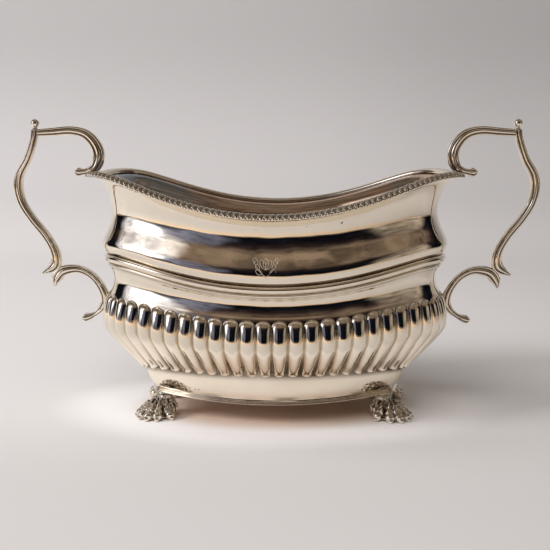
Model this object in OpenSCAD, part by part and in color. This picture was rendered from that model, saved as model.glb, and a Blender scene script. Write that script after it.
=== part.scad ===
// Two-handled silver sugar bowl of oblong bombe form, on four paw feet.
// Millimetres, +Z up, +X along the handles, origin on the floor under the middle of the bowl.

/* [Bowl plan] */
// Half length of the belly, along the handles
belly_half_x = 72; // [66:1:78]
// Half depth of the belly, front to back
belly_half_y = 51.5; // [49:0.5:54]
// Radius of the bowed long sides at the belly
side_radius = 108; // [104:1:112]
// Radius of the bowed ends at the belly
end_radius = 75; // [72:1:80]
// Radius of the rounded corners at the belly
corner_radius = 25.5; // [25:0.5:28]

/* [Bowl heights] */
// Height of the base edge at the middle of a long side
base_z = 8.3; // [7.5:0.1:9]
// Height of the plain moulding round the waist, at the middle of a long side
band_z = 56.8; // [56:0.1:57.5]
// Height of the rim at the middle of a long side
rim_z = 84.2; // [83.5:0.1:85]
// Thickness of the silver sheet
sheet = 1; // [0.8:0.1:1.3]

/* [Ornament] */
// Number of half flutes round the belly, a multiple of four
flutes = 64; // [48:4:68]
// How far a half flute stands out of the belly
flute_relief = 2.2; // [1.5:0.1:2.6]
// Radial width of the gadrooned rim border
border_w = 4; // [3:0.25:4.5]
// Height of the gadrooned rim border
border_h = 2.2; // [1.6:0.1:2.6]

/* [Handles] */
// Half width of a handle, front to back
handle_half_w = 2.3; // [1.8:0.1:2.8]
// Radius of the ball on top of a handle
finial_ball = 1.75; // [1.4:0.05:2]

/* [Feet] */
// Height of the plate that joins a paw to the base
plate_h = 1.6; // [1.2:0.1:2]
// Length of a paw's sole
paw_length = 18.5; // [15:0.5:19]
// Width of a paw's sole
paw_width = 15; // [12:0.5:16]

/* [Hidden] */
SIDES = ["left", "right"];
CORNERS = ["front_left", "front_right", "back_left", "back_right"];

silver = "#c9c3b8";
cast_silver = "#b9b2a5";

// ---- Plan of the bowl: three arcs in each quarter, tangent to each other ----

side_centre = [0, side_radius - belly_half_y];
end_centre = [belly_half_x - end_radius, 0];
between = end_centre - side_centre;
reach = norm(between);
side_gap = side_radius - corner_radius;
end_gap = end_radius - corner_radius;
along = (reach * reach + side_gap * side_gap - end_gap * end_gap) / (2 * reach);
across = sqrt(side_gap * side_gap - along * along);
unit = between / reach;
corner_centre = side_centre + along * unit + across * [-unit.y, unit.x] * (unit.y < 0 ? 1 : -1);
// Directions in which the side meets the corner and the corner meets the end
side_ends = atan2(corner_centre.y - side_centre.y, corner_centre.x - side_centre.x);
end_starts = atan2(corner_centre.y - end_centre.y, corner_centre.x - end_centre.x);
side_len = side_radius * (side_ends + 90) * PI / 180;
corner_len = corner_radius * (end_starts - side_ends) * PI / 180;
end_len = end_radius * -end_starts * PI / 180;
quarter_len = side_len + corner_len + end_len;

// Direction of the outward normal, -90 to 0, at a distance along the first quarter
function normal_at(s) =
    s < side_len ? -90 + s / side_radius * 180 / PI
    : s < side_len + corner_len ? side_ends + (s - side_len) / corner_radius * 180 / PI
    : end_starts + (s - side_len - corner_len) / end_radius * 180 / PI;

// Point of the first quarter for a normal direction, moved outwards by d
function quarter_point(a, d) =
    a < side_ends ? side_centre + (side_radius + d) * [cos(a), sin(a)]
    : a < end_starts ? corner_centre + (corner_radius + d) * [cos(a), sin(a)]
    : end_centre + (end_radius + d) * [cos(a), sin(a)];

// Stations run once round the bowl, from the middle of the front side towards +X
function quarter_of(t) = floor(t * 4) % 4;
function share_of(t) = t * 4 - floor(t * 4);
function reduced(t) = quarter_len * (quarter_of(t) % 2 == 0 ? share_of(t) : 1 - share_of(t));
function sign_x(t) = quarter_of(t) < 2 ? 1 : -1;
function sign_y(t) = quarter_of(t) == 0 || quarter_of(t) == 3 ? 1 : -1;
function plan_point(t, d) =
    let (p = quarter_point(normal_at(reduced(t)), d)) [p.x * sign_x(t), p.y * sign_y(t)];

// The mouldings rise from the middle of the long sides to the corners, then level out
function rise(t) =
    let (u = abs(plan_point(t, 0).x) / belly_half_x) u * u * (1 - 0.41 * pow(u, 6));

// One half flute across its width, 0 in the crease and 1 on the crest
function flute(t) = let (v = 2 * (t * flutes - floor(t * flutes)) - 1) sqrt(max(0, 1 - v * v));

// A level is [outward offset, height, rise, flute relief]
function level_point(t, l) =
    let (p = plan_point(t, l[0] + l[3] * (flute(t) - 1))) [p.x, p.y, l[1] + l[2] * rise(t)];

// ---- Solids built from rings of points ----

function strip(i, j, n) = [for (k = [0 : n - 1]) let (m = (k + 1) % n)
    each [[i * n + k, j * n + k, j * n + m], [i * n + k, j * n + m, i * n + m]]];

// A closed section carried once round the bowl
module round_bowl(section, stations) {
    n = len(section);
    points = [for (k = [0 : stations - 1]) for (l = section) level_point(k / stations, l)];
    faces = [for (k = [0 : stations - 1]) each strip(k, (k + 1) % stations, n)];
    polyhedron(points, faces);
}

// A closed section carried along part of the way round, with flat ends
module part_round(section, from, to, steps) {
    n = len(section);
    shares = [for (k = [0 : steps]) (from + (to - from) * k / steps + 1) % 1];
    points = [for (t = shares) for (l = section) level_point(t, l)];
    sides = [for (k = [0 : steps - 1]) each strip(k, k + 1, n)];
    ends = [[for (k = [0 : n - 1]) k], [for (k = [n - 1 : -1 : 0]) steps * n + k]];
    polyhedron(points, concat(sides, ends));
}

// Rings stacked on each other, closed at the bottom and the top
module stack(rings) {
    n = len(rings[0]);
    sides = [for (k = [0 : len(rings) - 2]) each strip(k, k + 1, n)];
    ends = [[for (k = [0 : n - 1]) k], [for (k = [n - 1 : -1 : 0]) (len(rings) - 1) * n + k]];
    polyhedron([for (r = rings) each r], concat(sides, ends));
}

// ---- Bowl ----

// Offsets, heights and rises of the bare sheet, from the base to the rim
base_level = [-21.5, base_z, 3];
lower_levels = [[-21, 10.3, 3], [-19.3, 13.4, 2], [-17.8, 16.6, 1], [-17, 21, -0.5]];
// The inside of the belly, up to the sheet's own thickness
inner_levels = [
    [-2.4, 38.8, 8.2], [-5.2, 31.9, 5.7], [-15.2, 24.2, 1.5], [-17.2, 21.9, -0.3], [-17.9, 16.6, 1],
    [-20.9, 10.5, 3]
];
waist = [-4.9, 51.4, 9.5];
band_low = [-3.4, band_z - 2.6, 13.6];
band_high = [-2.6, band_z + 1.8, 14.4];

// Facets across a half flute
facets = 3;
// The half flutes: crest offset, height, rise and relief
flute_levels = [
    [-16.6, 21.8, -0.5, 0.25],
    [-13.6, 23.5, 1, 1],
    [-9, 26.4, 3, 1],
    [-3.2, 31.3, 5.6, 1],
    [0, 37.3, 8, 1],
    [-0.8, 42.8, 9, 1],
    [-2.2, 45.8, 9.3, 0.7],
    [-3.6, 47.1, 9.5, 0.2]
];

function sheet_level(l, relief) = [l[0], l[1], l[2], relief];
function inside_level(l) = [l[0] - sheet, l[1], l[2], 0];

belly_section = concat(
    [sheet_level(base_level, 0)],
    [for (l = lower_levels) sheet_level(l, 0)],
    [for (l = flute_levels) [l[0], l[1], l[2], l[3] * flute_relief]],
    [sheet_level(waist, 0), sheet_level(band_low, 0), sheet_level(band_high, 0)],
    [for (l = concat([band_high, waist], inner_levels, [base_level])) inside_level(l)]
);

neck_levels = [
    band_high, [-0.9, 60.4, 14.2], [-0.4, 62.6, 14], [-1.4, 66.4, 13], [-3.4, 71.2, 12],
    [-4.6, 76.4, 11.3], [-4.3, 79.4, 14], [-2.5, 82, 18.8], [0.9, rim_z - 0.7, 22.2], [4.6, rim_z, 23]
];
neck_inside = [
    [4, rim_z + 0.75, 23], [0.9, rim_z + 0.35, 22.6], [-3.3, 82.2, 18.6], [-5.6, 76.8, 11.6],
    [-3.3, 67.6, 12.8], [-1.4, 62.6, 14], [-3.6, 58.6, 14.4]
];
neck_section = [for (l = concat(neck_levels, neck_inside)) sheet_level(l, 0)];

module neck_shell() { color(silver) round_bowl(neck_section, 128); }
module belly_shell() { color(silver) round_bowl(belly_section, facets * flutes); }

// The flat sheet that closes the bowl, let into the lower edge of the belly
module base_plate() {
    stations = 128;
    function edge(z) = [for (k = [0 : stations - 1])
        level_point((stations - k) % stations / stations, [base_level[0] - sheet, z, 3, 0])];
    color(silver) stack([edge(base_z), edge(base_z + sheet)]);
}

// A moulding of half-round section lying on the sheet between two levels
function half_round(low, high, out, steps) = concat(
    [for (k = [0 : steps]) let (w = k / steps, a = 180 * w, l = low + (high - low) * (1 - cos(a)) / 2)
        [l[0] + out * sin(a), l[1], l[2], 0]]
);

module base_wire() {
    color(silver) round_bowl(half_round(base_level, [-21.1, base_z + 2, 3], 1.3, 4), 128);
}
module waist_band() {
    low = band_low + (band_high - band_low) * 0.32;
    color(silver) round_bowl(half_round(low, band_high, 2, 5), 128);
}
module waist_fillet() {
    high = band_low + (band_high - band_low) * 0.28;
    color(silver) round_bowl(half_round(band_low, high, 0.9, 3), 128);
}

// ---- Gadrooned border, cast in four lengths that meet at the corners ----

border_in = 1.6;
border_steps = 36;
border_section = [
    [border_in, rim_z + 0.55, 23, 0],
    [4.6, rim_z + 0.1, 23, 0],
    [border_in + border_w, rim_z + 0.3, 23, 0],
    [border_in + border_w + 0.3, rim_z + border_h * 0.55, 23, 0],
    [border_in + border_w * 0.7, rim_z + border_h * 0.95, 23, 0],
    [border_in + border_w * 0.3, rim_z + border_h, 23, 0],
    [border_in, rim_z + border_h * 0.75, 23, 0]
];
// Share of a quarter at which the middle of the corner lies
corner_share = (side_len + corner_len / 2) / quarter_len / 4;

module border_length(from, to) { color(cast_silver) part_round(border_section, from, to, border_steps); }

// ---- Handles: cast scrolls in one upright plane, drawn for the +X side ----

// A smooth curve through a list of points
function smooth(p, t) =
    let (n = len(p) - 1, i = min(floor(t * n), n - 1), v = t * n - i,
         a = p[max(i - 1, 0)], b = p[i], c = p[i + 1], d = p[min(i + 2, n)])
    0.5 * (2 * b + (c - a) * v + (2 * a - 5 * b + 4 * c - d) * v * v + (3 * b - a - 3 * c + d) * v * v * v);

// [x, z, half thickness] down the middle of each scroll
scroll_path = [
    [98.9, 116.2, 1.4], [92.7, 116.6, 1.6], [85, 117.1, 1.7], [79, 115.6, 1.9], [75, 111.4, 2.15],
    [73.6, 106.6, 2.2], [75.1, 102.1, 1.9], [78, 100.6, 1.25], [80.6, 100, 1.3], [82.3, 100, 1.75],
    [83.9, 100.2, 0.5]
];
stem_path = [
    [100.2, 117.4, 1.4], [100.8, 113.3, 1.45], [103.6, 105.4, 1.55], [107, 99.2, 1.75], [108, 93.3, 1.8],
    [106.3, 86.8, 1.7], [102.4, 80.4, 1.6], [97.3, 74, 1.6], [93.9, 68.3, 1.7], [92.7, 63.8, 2.05],
    [93.8, 60.1, 2.25], [98.9, 57, 0.35]
];
foot_scroll_path = [
    [93.6, 51.6, 0.35], [92.6, 55, 1.95], [89.9, 58.1, 2.2], [84.4, 59.1, 1.6], [80, 57.8, 1.4],
    [76.2, 54.8, 1.4], [73.3, 50.4, 1.6], [72.2, 45.8, 1.75], [73.9, 42.1, 1.3], [77.2, 39.5, 1],
    [80.6, 38.2, 1.65], [82.3, 37.9, 0.5]
];
handle_sides = 10;

// Ring of points round a scroll at a share of its length
function scroll_ring(path, t) =
    let (p = smooth(path, t), q = smooth(path, min(t + 0.01, 1)) - smooth(path, max(t - 0.01, 0)),
         d = [q.x, q.y] / norm([q.x, q.y]), w = min(handle_half_w, p[2] * 1.6))
    [for (k = [0 : handle_sides - 1]) let (a = 360 * k / handle_sides)
        [p.x - d.y * p[2] * cos(a), w * sin(a), p.y + d.x * p[2] * cos(a)]];

module scroll(path, steps) { stack([for (k = [0 : steps]) scroll_ring(path, k / steps)]); }

module on_side(side) {
    if (side == "right") children();
    else mirror([1, 0, 0]) children();
}
module handle_scroll(side) { color(cast_silver) on_side(side) scroll(scroll_path, 20); }
module handle_stem(side) { color(cast_silver) on_side(side) scroll(stem_path, 22); }
module handle_foot_scroll(side) { color(cast_silver) on_side(side) scroll(foot_scroll_path, 22); }

// The thumb piece: a ball on a short waisted stalk
module handle_finial(side) {
    stalk = 1.4;
    color(cast_silver) on_side(side) translate([100.2, 0, 117.4]) rotate_extrude($fn = 48) union() {
        polygon([[0, 0], [1.2, 0], [0.8, stalk * 0.5], [0.9, stalk], [0, stalk]]);
        translate([0, stalk + finial_ball * 0.8]) intersection() {
            circle(finial_ball, $fn = 48);
            translate([0, -finial_ball]) square([finial_ball, 2 * finial_ball]);
        }
    }
}

// ---- Feet ----

ankle = [45.2, -14.6];
paw_turn = -52;
// The plate's top lies under the base wire, which rises towards the corners
plate_z = base_z + 1.85;
paw_h = plate_z - plate_h;

// The sole's outline with four toes at its front, scaled and moved along the paw
function paw_ring(z, length, width, shift, toes) = [for (k = [0 : 23]) let (a = -15 * k,
    bump = 1 + toes * 0.09 * (cos(a) > 0 ? cos(8 * a) : 0))
    [shift + length / 2 * cos(a) * bump, width / 2 * sin(a) * bump, z]];

module at_corner(corner) {
    flip_x = corner == "front_left" || corner == "back_left" ? 1 : 0;
    flip_y = corner == "back_left" || corner == "back_right" ? 1 : 0;
    mirror([flip_x, 0, 0]) mirror([0, flip_y, 0])
        translate([ankle.x, ankle.y, 0]) rotate(paw_turn) children();
}
module paw(corner) {
    color(cast_silver) at_corner(corner) stack([
        paw_ring(0, paw_length * 0.94, paw_width * 0.94, 4.4, 1),
        paw_ring(1.2, paw_length, paw_width, 4.4, 1),
        paw_ring(3.6, paw_length * 0.9, paw_width * 0.92, 3.5, 1),
        paw_ring(5.4, paw_length * 0.66, paw_width * 0.7, 1.6, 0.5),
        paw_ring(7, paw_length * 0.45, paw_width * 0.54, 0.5, 0),
        paw_ring(paw_h, paw_length * 0.4, paw_width * 0.48, 0, 0)
    ]);
}
module foot_plate(corner) {
    color(cast_silver) at_corner(corner) translate([0, 0, paw_h]) cylinder(h = plate_h, r = 3.9, $fn = 48);
}

neck_shell();
belly_shell();
base_plate();
base_wire();
waist_band();
waist_fillet();
border_length(-corner_share, corner_share);  // rim_border_front
border_length(corner_share, 0.5 - corner_share);  // rim_border_right
border_length(0.5 - corner_share, 0.5 + corner_share);  // rim_border_back
border_length(0.5 + corner_share, 1 - corner_share);  // rim_border_left
for (side = SIDES) {
    handle_scroll(side);
    handle_stem(side);
    handle_finial(side);
    handle_foot_scroll(side);
}
for (corner = CORNERS) {
    paw(corner);
    foot_plate(corner);
}
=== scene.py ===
# Silver sugar bowl: detailed surfaces, materials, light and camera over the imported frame.
# Lengths inside the shape functions are millimetres; put() turns them into metres.
import math

import bpy
import numpy as np
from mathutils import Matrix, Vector


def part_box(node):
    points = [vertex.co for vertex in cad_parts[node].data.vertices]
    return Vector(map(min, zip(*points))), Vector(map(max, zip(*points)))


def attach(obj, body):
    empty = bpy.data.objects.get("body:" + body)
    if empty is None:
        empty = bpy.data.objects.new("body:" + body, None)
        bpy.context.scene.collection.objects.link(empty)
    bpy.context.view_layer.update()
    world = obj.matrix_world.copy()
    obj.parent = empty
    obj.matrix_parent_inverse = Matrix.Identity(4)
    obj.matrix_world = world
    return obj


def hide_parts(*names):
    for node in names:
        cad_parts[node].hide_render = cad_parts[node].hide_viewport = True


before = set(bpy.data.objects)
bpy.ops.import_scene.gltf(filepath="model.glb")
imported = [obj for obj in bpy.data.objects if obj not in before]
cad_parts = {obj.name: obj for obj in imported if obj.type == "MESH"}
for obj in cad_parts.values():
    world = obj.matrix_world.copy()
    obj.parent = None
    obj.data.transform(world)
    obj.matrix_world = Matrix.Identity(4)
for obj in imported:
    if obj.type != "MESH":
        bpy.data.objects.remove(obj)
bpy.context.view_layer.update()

MM = 0.001
SEED = 11


def box_mm(node):
    lo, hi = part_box(node)
    return np.array(lo) / MM, np.array(hi) / MM


# ---- Driving sizes: the outer box comes from the frame, the rest match the design ----

BASE_Z = box_mm("belly_shell")[0][2]
# How far the lip stands out past the widest line of the body
RIM_OUT = 4.6
HALF_X, HALF_Y = box_mm("neck_shell")[1][:2] - RIM_OUT
SIDE_RADIUS = 108.0
END_RADIUS = 75.0
CORNER_RADIUS = 25.5
SHEET = 1.0
RIM_Z = 84.2
RIM_RISE = 23.0
BORDER_IN = 1.6
BORDER_W = 4.0
BORDER_H = 2.2
FLUTES = 64
FLUTE_RELIEF = 2.2
# Eggs in the rim border, all the way round
EGGS = 188
# Steps round the bowl on the pieces that have no flutes
STATIONS = 640


# ---- Plan of the bowl: three arcs in each quarter, tangent to each other ----

SIDE_C = np.array([0.0, SIDE_RADIUS - HALF_Y])
END_C = np.array([HALF_X - END_RADIUS, 0.0])


def corner_centre():
    between = END_C - SIDE_C
    reach = np.hypot(*between)
    near, far = SIDE_RADIUS - CORNER_RADIUS, END_RADIUS - CORNER_RADIUS
    along = (reach**2 + near**2 - far**2) / (2 * reach)
    across = math.sqrt(near**2 - along**2)
    unit = between / reach
    return SIDE_C + along * unit + across * np.array([-unit[1], unit[0]])


CORNER_C = corner_centre()
SIDE_ENDS = math.atan2(CORNER_C[1] - SIDE_C[1], CORNER_C[0] - SIDE_C[0])
END_STARTS = math.atan2(CORNER_C[1] - END_C[1], CORNER_C[0] - END_C[0])
SIDE_LEN = SIDE_RADIUS * (SIDE_ENDS + math.pi / 2)
CORNER_LEN = CORNER_RADIUS * (END_STARTS - SIDE_ENDS)
QUARTER_LEN = SIDE_LEN + CORNER_LEN - END_RADIUS * END_STARTS
CORNER_SHARE = (SIDE_LEN + CORNER_LEN / 2) / QUARTER_LEN / 4


def plan(t, d):
    """Points round the bowl at shares t of the way round, moved outwards by d."""
    t = np.mod(t, 1.0)
    quarter = np.floor(t * 4).astype(int) % 4
    share = t * 4 - np.floor(t * 4)
    s = QUARTER_LEN * np.where(quarter % 2 == 0, share, 1 - share)
    on_side = s < SIDE_LEN
    on_corner = ~on_side & (s < SIDE_LEN + CORNER_LEN)
    angle = np.where(
        on_side,
        s / SIDE_RADIUS - math.pi / 2,
        np.where(
            on_corner,
            SIDE_ENDS + (s - SIDE_LEN) / CORNER_RADIUS,
            END_STARTS + (s - SIDE_LEN - CORNER_LEN) / END_RADIUS,
        ),
    )
    radius = np.where(on_side, SIDE_RADIUS, np.where(on_corner, CORNER_RADIUS, END_RADIUS)) + d
    cx = np.where(on_side, SIDE_C[0], np.where(on_corner, CORNER_C[0], END_C[0]))
    cy = np.where(on_side, SIDE_C[1], np.where(on_corner, CORNER_C[1], END_C[1]))
    x = (cx + radius * np.cos(angle)) * np.where(quarter < 2, 1, -1)
    y = (cy + radius * np.sin(angle)) * np.where((quarter == 0) | (quarter == 3), 1, -1)
    return x, y


def rise(t):
    """How much of a level's rise it has here: none at the middle of a long side."""
    u = np.abs(plan(t, 0.0)[0]) / HALF_X
    return u**2 * (1 - 0.41 * u**6)


def smooth(points, per):
    """Rows of numbers, with per steps between each two, on a smooth curve through them."""
    p = np.asarray(points, float)
    a, b, c, d = np.vstack([p[:1], p[:-2]]), p[:-1], p[1:], np.vstack([p[2:], p[-1:]])
    v = np.linspace(0, 1, per, endpoint=False)[:, None, None]
    q = 0.5 * (
        2 * b
        + (c - a) * v
        + (2 * a - 5 * b + 4 * c - d) * v**2
        + (3 * b - a - 3 * c + d) * v**3
    )
    q = q.transpose(1, 0, 2).reshape(-1, p.shape[1])
    return np.vstack([q, p[-1:]])


def waviness(t, z):
    """The slight unevenness of hand-raised sheet, in mm."""
    w = 2 * math.pi * t
    return (
        0.050 * np.sin(9 * w + 0.11 * z)
        + 0.034 * np.sin(17 * w - 0.23 * z + 1.7)
        + 0.020 * np.sin(31 * w + 0.4 * z + 0.6)
    )


# ---- Meshes ----

def put(name, points, faces, material, nodes, marks=None):
    """Makes one piece from points in mm; marks are named numbers per point for the material."""
    mesh = bpy.data.meshes.new(name)
    mesh.from_pydata((np.asarray(points) * MM).tolist(), [], faces)
    mesh.validate()
    mesh.update()
    for key, values in (marks or {}).items():
        layer = mesh.attributes.new(key, "FLOAT", "POINT")
        layer.data.foreach_set("value", np.asarray(values, np.float32).ravel())
    mesh.polygons.foreach_set("use_smooth", [True] * len(mesh.polygons))
    mesh.materials.append(material)
    piece = bpy.data.objects.new(name, mesh)
    bpy.context.scene.collection.objects.link(piece)
    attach(piece, "root")
    if nodes:
        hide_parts(*nodes)


def grid_faces(rows, columns, wrap_rows, wrap_columns, flip=False):
    """Quads over a grid of points whose rows may close on themselves."""
    faces = []
    for i in range(rows if wrap_rows else rows - 1):
        j = (i + 1) % rows
        for k in range(columns if wrap_columns else columns - 1):
            m = (k + 1) % columns
            quad = (i * columns + k, j * columns + k, j * columns + m, i * columns + m)
            faces.append(quad[::-1] if flip else quad)
    return faces


def carried_round(levels, t, extra_d=0.0, extra_z=0.0, wave=1.0):
    """Grid of points: a section of [offset, height, rise] levels at each share t of the way round."""
    tt = t[:, None]
    d = levels[None, :, 0] + extra_d + wave * waviness(tt, levels[None, :, 1])
    x, y = plan(tt + 0 * d, d)
    z = levels[None, :, 1] + extra_z + levels[None, :, 2] * rise(tt)
    return np.stack([x, y, z], -1)


def even_stations(count):
    return np.arange(count) / count


def dome(low, high, out, steps):
    """Half-round section standing on the sheet between two levels."""
    a = np.linspace(0, math.pi, steps)
    low, high = np.array(low), np.array(high)
    levels = low + (high - low) * ((1 - np.cos(a)) / 2)[:, None]
    levels[:, 0] += out * np.sin(a)
    return levels


# ---- Materials ----

class Nodes:
    """Short ways to add nodes to a material."""

    def __init__(self, name):
        self.material = bpy.data.materials.new(name)
        self.material.use_nodes = True
        self.tree = self.material.node_tree
        self.shader = self.tree.nodes["Principled BSDF"]
        self.coords = self.tree.nodes.new("ShaderNodeTexCoord").outputs["Object"]

    def link(self, a, b):
        self.tree.links.new(a, b)

    def add(self, kind, inputs=None, **settings):
        n = self.tree.nodes.new(kind)
        for key, value in settings.items():
            setattr(n, key, value)
        for key, value in (inputs or {}).items():
            if isinstance(value, bpy.types.NodeSocket):
                self.link(value, n.inputs[key])
            else:
                n.inputs[key].default_value = value
        return n

    def noise(self, scale, detail=3.0, roughness=0.5, stretch=None):
        vector = self.coords
        if stretch:
            vector = self.add("ShaderNodeMapping", {"Vector": vector, "Scale": stretch}).outputs[0]
        made = self.add(
            "ShaderNodeTexNoise",
            {"Vector": vector, "Scale": scale, "Detail": detail, "Roughness": roughness},
        )
        return made.outputs["Fac"]

    def math(self, operation, a, b=0.0, clamp=False):
        made = self.add("ShaderNodeMath", {0: a, 1: b}, operation=operation, use_clamp=clamp)
        return made.outputs[0]

    def ranged(self, value, low, high, to_low=0.0, to_high=1.0):
        made = self.add(
            "ShaderNodeMapRange",
            {"Value": value, "From Min": low, "From Max": high, "To Min": to_low, "To Max": to_high},
            interpolation_type="SMOOTHSTEP",
        )
        return made.outputs[0]

    def mixed(self, share, a, b):
        made = self.add("ShaderNodeMix", data_type="RGBA")
        for value, socket in ((share, made.inputs[0]), (a, made.inputs[6]), (b, made.inputs[7])):
            if isinstance(value, bpy.types.NodeSocket):
                self.link(value, socket)
            else:
                socket.default_value = value
        return made.outputs[2]

    def bumped(self, height, strength, distance, under=None):
        inputs = {"Height": height, "Strength": strength, "Distance": distance}
        if under is not None:
            inputs["Normal"] = under
        return self.add("ShaderNodeBump", inputs).outputs[0]


SILVER = (0.93, 0.85, 0.73, 1)
WORN_SILVER = (0.88, 0.79, 0.65, 1)
# Dark colour of patina, also used for painted shade and a painted dark reflection on the belly
PATINA_AND_SHADE = (0.10, 0.070, 0.045, 1)


def silver(name, polish=0.07, patina=1.0, cast=False, pits=False, reach=0.0016, clear=0.80):
    """Polished silver with patina where the cast surface is deep, and darkened where the mesh's mark of
    patina and painted shade is high.
    """
    n = Nodes(name)
    clouds = n.noise(38, 4, 0.6)
    fine = n.noise(420, 3, 0.55)
    streaks = n.noise(260, 2, 0.5, stretch=(0.35, 0.35, 3.0))
    scratches = n.noise(900, 2, 0.7, stretch=(0.12, 0.5, 1.6))

    # This mark holds patina in joints and hollows, and on the belly also painted shade and a painted
    # dark reflection
    patina_and_shade_mark = n.add("ShaderNodeAttribute", attribute_name="patina_and_shade_mark").outputs["Fac"]
    uneven = n.math("MULTIPLY", n.ranged(clouds, 0.35, 0.68, 0.55, 1.0), patina)
    darkening = n.math("MULTIPLY", patina_and_shade_mark, uneven, clamp=True)
    if cast:
        near = n.add("ShaderNodeAmbientOcclusion", {"Distance": reach}, samples=6, only_local=True)
        deep = n.ranged(near.outputs["AO"], clear, clear - 0.5)
        darkening = n.math("MAXIMUM", darkening, n.math("MULTIPLY", deep, patina), clamp=True)
    if pits:
        spots = n.add("ShaderNodeTexVoronoi", {"Vector": n.coords, "Scale": 330.0}).outputs
        there = n.ranged(n.noise(120, 2), 0.66, 0.72)
        spot = n.ranged(spots["Distance"], 0.24, 0.12)
        darkening = n.math("MAXIMUM", darkening, n.math("MULTIPLY", spot, there), clamp=True)

    bright = n.mixed(n.ranged(clouds, 0.4, 0.75), SILVER, WORN_SILVER)
    # The inside of the bowl is tinted with drifts of blue and brown
    inner = n.add("ShaderNodeAttribute", attribute_name="inner").outputs["Fac"]
    drifts = n.ranged(n.noise(30, 2, 0.5, stretch=(1.0, 1.0, 1.8)), 0.42, 0.57)
    inner_tint = n.mixed(drifts, (0.26, 0.34, 0.44, 1), (0.60, 0.40, 0.28, 1))
    bright = n.mixed(n.math("MULTIPLY", inner, 0.75), bright, inner_tint)
    n.link(n.mixed(darkening, bright, PATINA_AND_SHADE), n.shader.inputs["Base Color"])
    gloss = n.ranged(fine, 0.3, 0.75, polish * 0.75, polish * 1.5)
    gloss = n.math("ADD", gloss, n.math("MULTIPLY", n.ranged(streaks, 0.58, 0.74), 0.06))
    gloss = n.math("ADD", gloss, n.math("MULTIPLY", darkening, 0.34), clamp=True)
    n.link(gloss, n.shader.inputs["Roughness"])
    n.shader.inputs["Metallic"].default_value = 1.0
    relief = n.bumped(scratches, 0.02, 0.0002)
    relief = n.bumped(fine, 0.05 if cast else 0.012, 0.0004, relief)
    n.link(relief, n.shader.inputs["Normal"])
    return n.material


SHEET_SILVER = silver("sheet_silver", polish=0.05, pits=True)
MOULDING_SILVER = silver("moulding_silver", polish=0.07)
CAST_SILVER = silver("cast_silver", polish=0.13, cast=True)
PAW_SILVER = silver("paw_silver", polish=0.17, cast=True, patina=1.3, reach=0.0028, clear=0.97)
HANDLE_SILVER = silver("handle_silver", polish=0.09, cast=True, patina=0.85)
CUT_SILVER = silver("cut_silver", polish=0.42)


# ---- Upper body ----

BAND_LOW = [-3.4, 54.2, 13.6]
BAND_HIGH = [-2.6, 58.6, 14.4]
WAIST = [-4.9, 51.4, 9.5]


def make_neck():
    outside = smooth(
        [
            BAND_HIGH,
            [-1.9, 59.2, 14.3],
            [-0.9, 60.4, 14.2],
            [-0.4, 62.4, 14],
            [-0.75, 64.8, 13.5],
            [-2, 68.2, 12.6],
            [-3.5, 71.8, 11.9],
            [-4.4, 75.2, 11.4],
            [-4.6, 77.6, 11.6],
            [-4.1, 79.8, 14.2],
            [-2.6, 81.8, 18.2],
            [0.4, RIM_Z - 0.8, 22],
            [4.5, RIM_Z - 0.1, RIM_RISE],
        ],
        6,
    )
    edge = np.array([[4.8, RIM_Z + 0.2, RIM_RISE], [4.6, RIM_Z + 0.55, RIM_RISE]])
    inside = outside[::-1].copy()
    inside[:, 0] -= SHEET * np.linspace(0.35, 1, len(inside))
    inside[:, 1] += np.linspace(0.75, 0, len(inside)) ** 2
    levels = np.vstack([outside, edge, inside])
    t = even_stations(STATIONS)
    points = carried_round(levels, t)
    seam = np.exp(-((levels[:, 1] - BAND_HIGH[1]) / 0.8) ** 2)
    marks = np.broadcast_to(seam[None, :], points.shape[:2])
    within = np.broadcast_to(np.arange(len(levels)) > len(outside) + 2, points.shape[:2])
    faces = grid_faces(len(t), len(levels), True, True, flip=True)
    put(
        "neck", points.reshape(-1, 3), faces, SHEET_SILVER, ["neck_shell"],
        {"patina_and_shade_mark": 0.7 * marks, "inner": within},
    )


# ---- Lower body with its half flutes ----

FLUTE_TOP_Z = 45.3
FLUTE_LOW_Z = 21.5
FLUTE_WIDEST_Z = 33.5
FLUTE_CAP = 2.6
FLUTE_LOW_CAP = 1.3
FLUTE_STEPS = 14
# Share of its space that a flute fills; the rest is the gap beside it
FLUTE_FILL = 0.93


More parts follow.
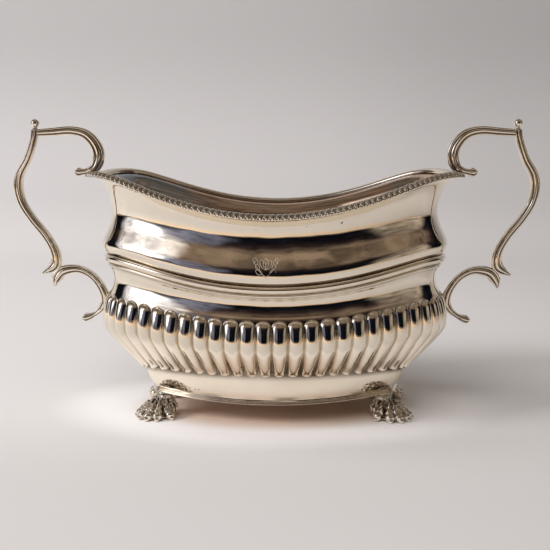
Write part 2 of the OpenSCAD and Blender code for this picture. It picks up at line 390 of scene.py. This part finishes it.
def make_belly():
    plain = smooth(
        [
            [-21.4, BASE_Z, 3],
            [-21.4, BASE_Z + 1.2, 3],
            [-20.9, 10.6, 2.9],
            [-19.4, 13.3, 2.1],
            [-18.0, 16.6, 1.0],
            [-17.3, 19.0, 0.2],
        ],
        4,
    )
    fluted = smooth(
        [
            [-16.9, 21.2, -0.5],
            [-15.3, 23.5, 1.0],
            [-11.1, 26.6, 3.0],
            [-5.5, 31.3, 5.6],
            [-2.75, 34.0, 7.0],
            [-2.2, 36.0, 7.8],
            [-2.2, 38.2, 8.5],
            [-2.6, 42.0, 9],
            [-3.1, 45.0, 9.3],
            [-3.8, 46.8, 9.5],
        ],
        10,
    )
    neck = smooth(
        [[-4.3, 48.2, 9.5], [-4.75, 49.8, 9.5], WAIST, [-4.6, 52.8, 11.2], BAND_LOW, BAND_HIGH], 4
    )
    inside = smooth(
        [
            BAND_HIGH, WAIST, [-3.4, 42.8, 9], [-3.4, 36.8, 8], [-12.6, 26.2, 3],
            [-18, 20.8, -0.3], [-19.6, 13.4, 2.1], [-21.4, BASE_Z, 3],
        ],
        5,
    )
    outside = np.vstack([plain, fluted, neck])
    inside[:, 0] -= SHEET

    across = -np.cos(math.pi * np.arange(FLUTE_STEPS) / FLUTE_STEPS)
    t = ((np.arange(FLUTES)[:, None] + (across[None, :] + 1) / 2) / FLUTES).ravel()
    v = np.tile(across, FLUTES)[:, None]

    step = np.gradient(outside[:, :2], axis=0)
    step /= np.hypot(step[:, 0], step[:, 1])[:, None]
    into_d, into_z = step[:, 1], -step[:, 0]
    z = outside[:, 1]
    to_top = np.clip(1 - (FLUTE_TOP_Z - z) / FLUTE_CAP, 0, 2)
    to_low = np.clip(1 - (z - FLUTE_LOW_Z) / FLUTE_LOW_CAP, 0, 2)
    cap = np.maximum(to_top, to_low)[None, :]
    # A narrow gap is left between the flutes, wider towards their lower ends
    filled = FLUTE_FILL - 0.05 * np.clip((31 - z) / 7, 0, 1)[None, :]
    bulge = np.sqrt(np.clip(1 - (v / filled) ** 2 - cap**2, 0, 1))
    # Above the widest height a flute sinks back towards the shoulder
    sinking = np.clip((z - FLUTE_WIDEST_Z) / (FLUTE_TOP_Z - FLUTE_WIDEST_Z), 0, 1)[None, :]
    height = FLUTE_RELIEF * bulge * np.sqrt(1 - (0.9 * sinking) ** 2)
    # The bulge stands square to the sheet, so a flute's lower end hangs over
    points = carried_round(outside, t, height * into_d[None, :], height * into_z[None, :])
    inner = carried_round(inside, t)
    fluted_zone = ((z > FLUTE_LOW_Z - 1) & (z < FLUTE_TOP_Z + 0.6))[None, :]
    # Patina in the creases between the flutes, widened and darkened on their lower halves as painted
    # shade
    low_half = np.clip((40 - z) / 14, 0.4, 1)[None, :]
    crease = np.clip(1 - bulge / (0.40 + 0.45 * low_half), 0, 1) ** 1.2 * fluted_zone
    seam = np.exp(-((z - BAND_LOW[1]) / 0.5) ** 2)[None, :] * 0.7
    # Painted dark reflection: dark patches just above the base wire
    patchy = np.clip(0.2 + np.sin(13 * math.pi * t + 1) * np.sin(31 * math.pi * t), 0, 1)[:, None]
    painted_dark_reflection = np.exp(-(((z - BASE_Z - 2.6) / 0.7) ** 2))[None, :] * patchy * 0.8
    # Painted shade: the creases darken further towards the flutes' lower ends
    ends = 1 + 0.8 * np.clip((28 - z) / 4, 0, 1)[None, :]
    # The mark: patina in the creases and the band joint, with painted shade in the creases and a painted
    # dark reflection above the base wire
    patina_and_shade_mark = np.maximum(np.clip(crease * low_half * ends, 0, 1), np.maximum(seam, painted_dark_reflection))
    levels = len(outside) + len(inside)
    both = np.concatenate([points, inner], axis=1)
    marks = np.concatenate([patina_and_shade_mark, np.zeros(inner.shape[:2])], axis=1)
    within = np.concatenate([np.zeros(patina_and_shade_mark.shape), np.ones(inner.shape[:2])], axis=1)
    faces = grid_faces(len(t), levels, True, True, flip=True)
    put(
        "belly", both.reshape(-1, 3), faces, SHEET_SILVER, ["belly_shell"],
        {"patina_and_shade_mark": marks, "inner": within},
    )


# ---- Mouldings ----

def make_moulding(name, levels, node, dark=0.6):
    t = even_stations(STATIONS)
    points = carried_round(levels, t, wave=0.6)
    edge = np.abs(np.linspace(-1, 1, len(levels))) ** 6
    marks = np.broadcast_to(dark * edge[None, :], points.shape[:2])
    faces = grid_faces(len(t), len(levels), True, True, flip=True)
    put(
        name, points.reshape(-1, 3), faces, MOULDING_SILVER, [node],
        {"patina_and_shade_mark": marks},
    )


def make_mouldings():
    low, high = np.array(BAND_LOW), np.array(BAND_HIGH)
    band_foot = low + (high - low) * 0.32
    fillet_top = low + (high - low) * 0.28
    make_moulding("waist_band", dome(band_foot, high, 2.0, 17), "waist_band")
    make_moulding("waist_fillet", dome(low, fillet_top, 0.9, 9), "waist_fillet", dark=0.9)
    bead = dome([-21.4, BASE_Z + 0.8, 3], [-21.4, BASE_Z + 1.2, 3], 0.35, 9)
    foot = dome([-21.3, BASE_Z, 3], [-21.4, BASE_Z + 0.68, 3], 0.9, 9)
    make_moulding("base_wire", np.vstack([foot, bead]), "base_wire", dark=0.9)


EGG_STEPS = 20
EGG_HALF_WIDTH = 0.56
EGG_HALF_HEIGHT = 0.72
GROOVE_DEPTH = 0.42
SECTION_STEPS = 25


def make_border(name, node, start, end):
    """A cast length of egg-and-dart rim border, cut off flat at the middle of a corner."""
    eggs = round((end - start) * EGGS)
    t = np.linspace(start, end, eggs * EGG_STEPS + 1)
    v = 2 * np.mod((t - start) / (end - start) * eggs, 1.0) - 1
    a = np.radians(np.linspace(-28, 196, SECTION_STEPS))
    mid = BORDER_IN + BORDER_W / 2 + 0.1
    half = BORDER_W / 2 + 0.15
    levels = np.stack(
        [mid + half * np.cos(a), RIM_Z + 0.55 + (BORDER_H - 0.6) * np.sin(a), RIM_RISE + 0 * a], -1
    )
    # Only the outward half of the border is worked; its inner half is plain
    w = (np.linspace(-1, 1, len(a))[None, :] + 0.40) / 0.56
    worked = np.clip((0.88 - np.abs(w)) / 0.12, 0, 1)
    # A groove runs round each egg, and two more set off the dart between the eggs
    off = np.abs(v)[:, None]
    ring = np.exp(-(((np.hypot(off / EGG_HALF_WIDTH, w / EGG_HALF_HEIGHT) - 1) / 0.20) ** 2))
    beside = np.exp(-(((off - 0.88) / 0.09) ** 2))
    groove = np.clip(ring + beside, 0, 1) * worked
    depth = GROOVE_DEPTH * groove
    points = carried_round(
        levels, t, -depth * np.cos(a)[None, :], -depth * np.sin(a)[None, :], wave=0.5
    )
    patina_and_shade_mark = 0.9 * groove
    faces = grid_faces(len(t), len(a), False, True, flip=True)
    n = len(a)
    faces.append(tuple(range(n)))
    faces.append(tuple(range((len(t) - 1) * n, len(t) * n))[::-1])
    put(
        name, points.reshape(-1, 3), faces, CAST_SILVER, [node], {"patina_and_shade_mark": patina_and_shade_mark}
    )


# ---- Spray of leaves on the front ----

SPRAY_X = -2.0
SPRAY_Z = 65.8
LINE_RADIUS = 0.15
LINE_STEPS = 15
LINE_SIDES = 5
# Leaves on each stem: share of the way along it, length, and lean in radians
LEAVES = ((0.3, 3.0, 0.5), (0.5, 2.6, 1.15), (0.7, 2.2, 1.8), (0.86, 1.7, 2.3))


def on_front(x, z):
    """Points of the neck's outside at the front, at heights where it is nearly upright."""
    d = np.interp(z, [60.4, 62.4, 64.8, 68.2, 71.8], [-0.9, -0.4, -0.75, -2.0, -3.5])
    a = np.arcsin(x / (SIDE_RADIUS + d))
    return np.stack([x, SIDE_C[1] - (SIDE_RADIUS + d) * np.cos(a), z], -1)


def make_spray():
    """A spray of leaves on two stems, in fine raised lines of duller silver."""
    u = np.linspace(0, 1, LINE_STEPS)
    lines = []
    for sign in (-1, 1):
        stem = np.stack([sign * (5.4 * u**0.8 - 1.1 * (1 - u)), -3.6 + 7.4 * u**1.35], -1)
        lines.append(stem)
        for share, length, lean in LEAVES:
            foot = np.array([np.interp(share, u, stem[:, 0]), np.interp(share, u, stem[:, 1])])
            for bow in (-0.28, 0.28):
                along = length * u
                aside = bow * length * np.sin(math.pi * u)
                c, s = math.cos(lean), math.sin(lean)
                lines.append(
                    foot + np.stack([sign * (along * c - aside * s), along * s + aside * c], -1)
                )
    for turn in (90, 62, 118):
        c, s = math.cos(math.radians(turn)), math.sin(math.radians(turn))
        for bow in (-0.22, 0.22):
            along, aside = 4.4 * u, bow * 4.4 * np.sin(math.pi * u)
            lines.append(np.stack([along * c - aside * s, -0.6 + along * s + aside * c], -1))
    points, faces = [], []
    ring = 2 * math.pi * np.arange(LINE_SIDES) / LINE_SIDES
    for line in lines:
        step = np.gradient(line, axis=0)
        step /= np.hypot(step[:, 0], step[:, 1])[:, None]
        path = on_front(SPRAY_X + line[:, 0], SPRAY_Z + line[:, 1])
        # Lines thin out towards their ends
        wide = LINE_RADIUS * (0.35 + 0.65 * np.sin(math.pi * u) ** 0.5)
        out = wide[:, None] * np.sin(ring)
        across = wide[:, None] * np.cos(ring)
        tube = path[:, None, :] + np.stack(
            [-step[:, 1:2] * across, -out, step[:, 0:1] * across], -1
        )
        start = sum(len(p) for p in points)
        points.append(tube.reshape(-1, 3))
        faces += [tuple(i + start for i in f) for f in grid_faces(len(u), LINE_SIDES, False, True)]
        last = start + LINE_SIDES * (len(u) - 1)
        faces.append(tuple(start + k for k in range(LINE_SIDES)))
        faces.append(tuple(last + k for k in range(LINE_SIDES))[::-1])
    put("engraved_spray", np.vstack(points), faces, CUT_SILVER, None)


# ---- Handles ----

SCROLL = [
    [98.9, 116.2, 1.4], [92.7, 116.6, 1.6], [85, 117.1, 1.7], [79, 115.6, 1.9], [75, 111.4, 2.15],
    [73.6, 106.6, 2.2], [75.1, 102.1, 1.9], [78, 100.6, 1.25], [80.6, 100, 1.3], [82.3, 100, 1.75],
    [83.9, 100.2, 0.5],
]
STEM = [
    [100.2, 117.4, 1.4], [100.8, 113.3, 1.45], [103.6, 105.4, 1.55], [107, 99.2, 1.75],
    [107.9, 93.3, 1.8], [106.3, 86.8, 1.7], [102.4, 80.4, 1.6], [97.3, 74, 1.6], [93.9, 68.3, 1.7],
    [92.7, 63.8, 2.05], [93.8, 60.1, 2.25], [98.9, 57, 0.35],
]
FOOT_SCROLL = [
    [93.6, 51.6, 0.35], [92.6, 55, 1.95], [89.9, 58.1, 2.2], [84.4, 59.1, 1.6], [80, 57.8, 1.4],
    [76.2, 54.8, 1.4], [73.3, 50.4, 1.6], [72.2, 45.8, 1.75], [73.9, 42.1, 1.3], [77.2, 39.5, 1],
    [80.6, 38.2, 1.65], [82.3, 37.9, 0.5],
]
HANDLE_HALF_W = 2.3
HANDLE_TOP = (100.2, 117.4)
# Middle, half width, foot and crown of each reed, as shares of the section
REEDS = ((-0.72, 0.27, 0.5, 0.24), (0, 0.43, 0.62, 0.38), (0.72, 0.27, 0.5, 0.24))


def reeded_outline():
    """Half thickness and half width, as shares, round a section with three reeds on each face."""
    upper = []
    for middle, half, foot, crown in REEDS:
        for a in np.linspace(math.pi, 0, 8):
            upper.append((middle + half * math.cos(a), foot + crown * math.sin(a)))
    upper = [(-1, 0.22)] + upper + [(1, 0.22)]
    lower = [(n, -y) for n, y in upper[::-1]]
    return np.array(upper + lower)


def make_scroll(name, node, path, sign, stout=1.0):
    outline = reeded_outline()
    p = smooth(path, 16)
    p[:, 2] *= stout
    tangent = np.gradient(p[:, :2], axis=0)
    tangent /= np.hypot(tangent[:, 0], tangent[:, 1])[:, None]
    # The section narrows where the scroll thins towards its terminals
    width = np.minimum(HANDLE_HALF_W, p[:, 2] * 1.6)
    n, y = outline[:, 0][None, :], outline[:, 1][None, :]
    x = p[:, 0:1] - tangent[:, 1:2] * p[:, 2:3] * n
    z = p[:, 1:2] + tangent[:, 0:1] * p[:, 2:3] * n
    points = np.stack([sign * x, width[:, None] * y + 0 * x, z], -1)
    channel = np.exp(-((np.abs(n) - 0.44) / 0.07) ** 2) + 0 * x
    rows, columns = points.shape[:2]
    faces = grid_faces(rows, columns, False, True, flip=sign < 0)
    caps = [tuple(range(columns)), tuple(range((rows - 1) * columns, rows * columns))[::-1]]
    faces += caps if sign > 0 else [c[::-1] for c in caps]
    put(
        name, points.reshape(-1, 3), faces, HANDLE_SILVER, [node],
        {"patina_and_shade_mark": np.clip(channel, 0, 1)},
    )


def make_lathe(name, profile, place, material, nodes, around=48):
    """A turned piece: profile of [radius, height] about an upright axis through place."""
    p = smooth(profile, 5)
    a = 2 * math.pi * np.arange(around) / around
    x = place[0] + p[:, 0:1] * np.cos(a)[None, :]
    y = place[1] + p[:, 0:1] * np.sin(a)[None, :]
    z = place[2] + p[:, 1:2] + 0 * x
    points = np.stack([x, y, z], -1)
    faces = grid_faces(len(p), around, False, True, flip=True)
    faces += [tuple(range(around)), tuple(range((len(p) - 1) * around, len(p) * around))[::-1]]
    dark = np.broadcast_to(np.gradient(np.gradient(p[:, 0]))[:, None] > 0.02, x.shape)
    put(name, points.reshape(-1, 3), faces, material, nodes, {"patina_and_shade_mark": 0.6 * dark})


def make_handles():
    for side, sign in (("left", -1), ("right", 1)):
        make_scroll(f"upper_scroll_{side}", f"handle_scroll_{side}", SCROLL, sign, 1.08)
        make_scroll(f"stem_{side}", f"handle_stem_{side}", STEM, sign)
        make_scroll(f"lower_scroll_{side}", f"handle_foot_scroll_{side}", FOOT_SCROLL, sign, 1.05)
        finial = [
            [0.9, -0.6], [1.3, 0], [1.1, 0.45], [0.85, 0.85], [0.9, 1.15], [1.3, 1.55],
            [1.68, 2.2], [1.75, 2.8], [1.62, 3.45], [1.2, 4.05], [0.6, 4.44], [0.05, 4.53],
        ]
        make_lathe(
            f"finial_{side}", finial, (sign * HANDLE_TOP[0], 0, HANDLE_TOP[1]), HANDLE_SILVER,
            [f"handle_finial_{side}"],
        )


# ---- Feet ----

ANKLE = np.array([45.2, -14.6])
PAW_TURN = math.radians(-52)
PLATE_H = 1.6
PLATE_Z = BASE_Z + 1.85
PAW_VOXEL = 0.17


def ball(centre, radii, turn=0.0, around=14):
    """Points and faces of a stretched ball; turn is about the upright axis."""
    a = 2 * math.pi * np.arange(around) / around
    b = np.linspace(-math.pi / 2, math.pi / 2, around // 2 + 1)[1:-1]
    x = radii[0] * np.cos(b)[:, None] * np.cos(a)[None, :]
    y = radii[1] * np.cos(b)[:, None] * np.sin(a)[None, :]
    z = radii[2] * np.sin(b)[:, None] + 0 * x
    points = np.stack([x, y, z], -1).reshape(-1, 3)
    faces = grid_faces(len(b), around, False, True, flip=True)
    low, high = len(points), len(points) + 1
    points = np.vstack([points, [[0, 0, -radii[2]], [0, 0, radii[2]]]])
    last = (len(b) - 1) * around
    for k in range(around):
        m = (k + 1) % around
        faces.append((k, m, low)[::-1])
        faces.append((last + m, last + k, high)[::-1])
    c, s = math.cos(turn), math.sin(turn)
    points[:, :2] = points[:, :2] @ np.array([[c, s], [-s, c]])
    return points + np.array(centre), faces


def toe_lumps(turn):
    """Knuckle, pad and blunt claw of one toe, in a fan about a point ahead of the ankle."""
    c, s = math.cos(turn), 0.82 * math.sin(turn)
    parts = (
        (5.2, 4.1, (2.4, 2.0, 2.0)),
        (7.4, 3.2, (2.2, 2.15, 2.1)),
        (9.2, 2.0, (2.0, 2.1, 1.9)),
        (10.6, 1.0, (1.3, 1.1, 1.05)),
    )
    return [((2.4 + reach * c, reach * s, height), radii, turn) for reach, height, radii in parts]


def paw_lumps(rng):
    """The balls that a lion's paw is built up from, pointing along +X, sole at z = 0."""
    lumps = [
        ((0, 0, 7.6), (3.2, 3.2, 3.0), 0),
        ((1.0, 0, 4.9), (4.3, 4.1, 2.4), 0),
        ((3.0, 0, 3.3), (6.3, 5.6, 2.6), 0),
        ((4.0, 0, 2.0), (7.4, 6.3, 2.3), 0),
        ((3.9, 0, 1.1), (7.8, 6.6, 1.4), 0),
        ((-1.8, 0, 2.4), (2.6, 3.6, 2.4), 0),
    ]
    for turn in np.radians([-76, -40, -13, 13, 40, 76]):
        lumps += toe_lumps(turn)
    # A beaded collar at the ankle, then locks of fur down the leg and over the toes
    rows = (
        (7.3, 3.0, 0.0, 16, 0.7), (6.2, 3.4, 0.3, 10, 1.0), (5.6, 4.5, 1.4, 11, 1.2),
        (4.9, 5.9, 2.6, 13, 1.25), (3.6, 7.3, 3.4, 15, 1.2),
    )
    for row, (height, radius, ahead, count, size) in enumerate(rows):
        for k in range(count):
            a = 2 * math.pi * (k + 0.5 * (row % 2)) / count + rng.uniform(-0.1, 0.1)
            r = size * rng.uniform(0.88, 1.15)
            centre = (
                ahead + radius * math.cos(a), 0.9 * radius * math.sin(a),
                height + rng.uniform(-0.2, 0.2),
            )
            lumps.append((centre, (0.75 * r, 0.65 * r, 1.3 * r), a))
    return lumps


def merged(name, shapes, voxel):
    """One skin round overlapping shapes, as points in mm and faces."""
    points, faces, start = [], [], 0
    for shape_points, shape_faces in shapes:
        points.append(shape_points)
        faces += [tuple(i + start for i in f) for f in shape_faces]
        start += len(shape_points)
    mesh = bpy.data.meshes.new(name)
    mesh.from_pydata((np.vstack(points) * MM).tolist(), [], faces)
    maker = bpy.data.objects.new(name, mesh)
    bpy.context.scene.collection.objects.link(maker)
    skin = maker.modifiers.new("skin", "REMESH")
    skin.mode = "VOXEL"
    skin.voxel_size = voxel * MM
    soft = maker.modifiers.new("soft", "SMOOTH")
    soft.iterations = 1
    soft.factor = 0.5
    graph = bpy.context.evaluated_depsgraph_get()
    made = bpy.data.meshes.new_from_object(maker.evaluated_get(graph))
    co = np.zeros(len(made.vertices) * 3)
    made.vertices.foreach_get("co", co)
    new_faces = [tuple(p.vertices) for p in made.polygons]
    bpy.data.objects.remove(maker)
    bpy.data.meshes.remove(mesh)
    bpy.data.meshes.remove(made)
    return co.reshape(-1, 3) / MM, new_faces


def make_feet():
    shapes = [ball(c, r, turn) for c, r, turn in paw_lumps(np.random.default_rng(SEED))]
    points, faces = merged("paw_maker", shapes, PAW_VOXEL)
    points[:, 2] = np.clip(points[:, 2], 0.0, PLATE_Z - PLATE_H)
    c, s = math.cos(PAW_TURN), math.sin(PAW_TURN)
    turned = points.copy()
    turned[:, :2] = points[:, :2] @ np.array([[c, s], [-s, c]]) + ANKLE
    plate = [
        [2.7, -0.05], [3.2, 0.05], [3.45, 0.3], [3.2, 0.58], [3.05, 0.66], [3.5, 0.8],
        [3.85, 1.05], [3.8, 1.35], [3.65, 1.5], [3.65, PLATE_H],
    ]
    for end, flip_y in (("front", 1), ("back", -1)):
        for side, flip_x in (("left", -1), ("right", 1)):
            here = turned * np.array([flip_x, flip_y, 1])
            wound = faces if flip_x * flip_y > 0 else [f[::-1] for f in faces]
            put(
                f"lion_paw_{end}_{side}", here, wound, PAW_SILVER,
                [f"paw_{end}_{side}"],
            )
            make_lathe(
                f"ankle_ring_{end}_{side}", plate,
                (flip_x * ANKLE[0], flip_y * ANKLE[1], PLATE_Z - PLATE_H), CAST_SILVER,
                [f"foot_plate_{end}_{side}"],
            )


# ---- Camera ----

def make_camera():
    """A short telephoto view from the front, slightly above the rim."""
    camera = bpy.data.objects.new("camera", bpy.data.cameras.new("camera"))
    bpy.context.scene.collection.objects.link(camera)
    away, height, turn, down = 0.415, 0.1118, math.radians(1.6), 0.132
    camera.location = (away * math.sin(turn), -away * math.cos(turn), height)
    camera.rotation_euler = (math.pi / 2 - down, 0, turn)
    camera.data.sensor_width = 36.0
    camera.data.lens = 64.8
    camera.data.clip_start = 0.01
    camera.data.clip_end = 50
    bpy.context.scene.camera = camera


# ---- Floor, backdrop and light ----

def stage_mesh(name, points, faces, material):
    mesh = bpy.data.meshes.new(name)
    mesh.from_pydata(points, [], faces)
    mesh.polygons.foreach_set("use_smooth", [True] * len(mesh.polygons))
    mesh.materials.append(material)
    made = bpy.data.objects.new(name, mesh)
    bpy.context.scene.collection.objects.link(made)


def paper():
    """Matt pale paper, warmer to the front; painted shade darkens it up the backdrop, to the right and
    to the front, with a painted brown shadow under the bowl and a painted lighter ring round it.
    """
    n = Nodes("paper")
    place = n.add("ShaderNodeSeparateXYZ", {"Vector": n.coords}).outputs
    out_front = n.ranged(place["Y"], -0.16, -0.42)
    # Painted shade: the paper darkens up the backdrop, to the right and to the front
    low_wall = n.ranged(place["Z"], 0.0, 0.06, 1.0, 0.86)
    high_wall = n.ranged(place["Z"], 0.05, 0.27, 1.0, 0.76)
    up_wall = n.math("MULTIPLY", low_wall, high_wall)
    to_right = n.ranged(place["X"], 0.0, 0.24, 1.0, 0.93)
    to_front = n.ranged(place["Y"], 0.0, -0.10, 1.0, 0.90)
    painted_lighting = n.math("MULTIPLY", n.math("MULTIPLY", up_wall, to_right), to_front)
    # Painted shadow: a warm brown patch on the paper under the bowl
    round_x = n.math("POWER", n.math("DIVIDE", place["X"], 0.052), 2.0)
    round_y = n.math("POWER", n.math("DIVIDE", place["Y"], 0.034), 2.0)
    from_middle = n.math("ADD", round_x, round_y)
    under = n.ranged(from_middle, 1.5, 0.5, 0.0, 0.75)
    # A painted lighter ring, standing in for light, lies round the painted shadow under the bowl
    painted_lighting = n.math("MULTIPLY", painted_lighting, n.ranged(from_middle, 3.8, 1.6, 1.0, 1.25))
    fibre = n.math("MULTIPLY", n.noise(700, 4), 0.02)
    tint = n.mixed(out_front, (0.73, 0.72, 0.725, 1), (0.84, 0.67, 0.51, 1))
    # Painted shadow colour under the bowl
    tint = n.mixed(under, tint, (0.52, 0.36, 0.25, 1))
    shaded = n.mixed(fibre, tint, (0.5, 0.5, 0.5, 1))
    faded = n.add("ShaderNodeVectorMath", {0: shaded, 3: painted_lighting}, operation="SCALE").outputs[0]
    n.link(faded, n.shader.inputs["Base Color"])
    n.shader.inputs["Roughness"].default_value = 0.9
    n.shader.inputs["Specular IOR Level"].default_value = 0.1
    return n.material


def make_stage():
    """A pale sweep: flat in front and under the bowl, curving up behind it."""
    half, front, bend, radius, top = 1.4, -0.95, 0.5, 0.45, 1.5
    line = [(front, 0.0), (0.0, 0.0)]
    for a in np.linspace(0, math.pi / 2, 16):
        line.append((bend + radius * math.sin(a), radius * (1 - math.cos(a))))
    line.append((bend + radius, top))
    points = [(x, y, z) for y, z in line for x in (-half, half)]
    faces = [(2 * i, 2 * i + 1, 2 * i + 3, 2 * i + 2) for i in range(len(line) - 1)]
    stage_mesh("sweep", points, faces, paper())


def area_light(name, place, look_at, size, power, colour):
    """A soft rectangular light that the silver doesn't mirror."""
    light = bpy.data.lights.new(name, "AREA")
    light.shape = "RECTANGLE"
    light.size, light.size_y = size
    light.energy = power
    light.color = colour
    made = bpy.data.objects.new(name, light)
    made.location = place
    made.rotation_mode = "QUATERNION"
    made.rotation_quaternion = (Vector(look_at) - Vector(place)).to_track_quat("-Z", "Y")
    made.visible_glossy = False
    bpy.context.scene.collection.objects.link(made)


def make_light():
    area_light("window", (-1.3, -0.6, 0.88), (0, 0, 0.03), (0.55, 0.55), 13.6, (1.0, 0.98, 0.96))
    area_light("overhead", (-0.25, -1.15, 1.3), (0, 0.0, 0), (1.2, 1.2), 15.6, (1.0, 0.975, 0.945))
    area_light("back_wash", (-0.7, 0.15, 1.0), (-0.3, 0.95, 0.35), (0.8, 0.5), 4.0, (1.0, 0.99, 0.99))


def make_room():
    """What the silver mirrors: a dim warm room, a window on the left, a weak glow on the right."""
    world = bpy.data.worlds.new("room")
    bpy.context.scene.world = world
    world.use_nodes = True
    tree = world.node_tree
    add, link = tree.nodes.new, tree.links.new
    toward = add("ShaderNodeTexCoord").outputs["Generated"]
    parts = add("ShaderNodeSeparateXYZ")
    link(toward, parts.inputs[0])
    ramp = add("ShaderNodeValToRGB")
    stops = (
        (0.0, (0.20, 0.16, 0.12, 1)),
        (0.012, (0.005, 0.0045, 0.005, 1)),
        (0.14, (0.004, 0.005, 0.009, 1)),
        (0.34, (0.008, 0.007, 0.009, 1)),
        (0.43, (0.028, 0.018, 0.017, 1)),
        (0.52, (0.15, 0.11, 0.083, 1)),
        (0.64, (0.20, 0.148, 0.105, 1)),
        (0.80, (0.17, 0.14, 0.11, 1)),
        (1.0, (0.22, 0.19, 0.16, 1)),
    )
    ramp.color_ramp.elements[0].position, ramp.color_ramp.elements[0].color = stops[0]
    ramp.color_ramp.elements[1].position, ramp.color_ramp.elements[1].color = stops[-1]
    for position, colour in stops[1:-1]:
        ramp.color_ramp.elements.new(position).color = colour
    link(parts.outputs["Z"], ramp.inputs[0])
    lit = ramp.outputs[0]
    # Soft-edged glows: direction, cosines at which the glow starts and is full, colour
    glows = (
        ((-0.84, -0.43, 0.30), 0.976, 0.999, (2.2, 2.2, 2.35, 1)),
        ((-0.70, -0.46, 0.55), 0.962, 0.999, (0.9, 0.9, 0.97, 1)),
        ((-0.90, -0.28, 0.34), 0.90, 0.99, (0.75, 0.76, 0.84, 1)),
        ((-0.62, -0.76, 0.20), 0.93, 0.99, (0.16, 0.17, 0.24, 1)),
        ((0.90, -0.40, 0.10), 0.88, 0.99, (0.34, 0.29, 0.23, 1)),
    )
    for direction, starts, full, colour in glows:
        facing = add("ShaderNodeVectorMath")
        facing.operation = "DOT_PRODUCT"
        link(toward, facing.inputs[0])
        facing.inputs[1].default_value = Vector(direction).normalized()
        fade = add("ShaderNodeMapRange")
        fade.interpolation_type = "SMOOTHSTEP"
        fade.inputs["From Min"].default_value = starts
        fade.inputs["From Max"].default_value = full
        link(facing.outputs["Value"], fade.inputs["Value"])
        blend = add("ShaderNodeMix")
        blend.data_type = "RGBA"
        blend.blend_type = "ADD"
        link(fade.outputs[0], blend.inputs[0])
        link(lit, blend.inputs[6])
        blend.inputs[7].default_value = colour
        lit = blend.outputs[2]
    # Furniture and hangings, as soft uneven patches of dark and light
    patches = add("ShaderNodeTexNoise")
    patches.inputs["Scale"].default_value = 5.0
    patches.inputs["Detail"].default_value = 5.0
    patches.inputs["Roughness"].default_value = 0.62
    link(toward, patches.inputs["Vector"])
    strength = add("ShaderNodeMapRange")
    strength.inputs["From Min"].default_value = 0.36
    strength.inputs["From Max"].default_value = 0.64
    strength.inputs["To Min"].default_value = 0.45
    strength.inputs["To Max"].default_value = 1.5
    link(patches.outputs["Fac"], strength.inputs["Value"])
    uneven = add("ShaderNodeVectorMath")
    uneven.operation = "SCALE"
    link(lit, uneven.inputs[0])
    link(strength.outputs[0], uneven.inputs[3])
    link(uneven.outputs[0], tree.nodes["Background"].inputs[0])


make_camera()
make_stage()
make_light()
make_room()
make_neck()
make_belly()
make_mouldings()
for border_side, border_start, border_end in (
    ("front", -CORNER_SHARE, CORNER_SHARE),
    ("right", CORNER_SHARE, 0.5 - CORNER_SHARE),
    ("back", 0.5 - CORNER_SHARE, 0.5 + CORNER_SHARE),
    ("left", 0.5 + CORNER_SHARE, 1 - CORNER_SHARE),
):
    make_border(f"border_{border_side}", f"rim_border_{border_side}", border_start, border_end)
make_spray()
make_handles()
make_feet()
for base_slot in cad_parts["base_plate"].material_slots:
    base_slot.material = SHEET_SILVER

bpy.context.scene.view_settings.view_transform = "Standard"
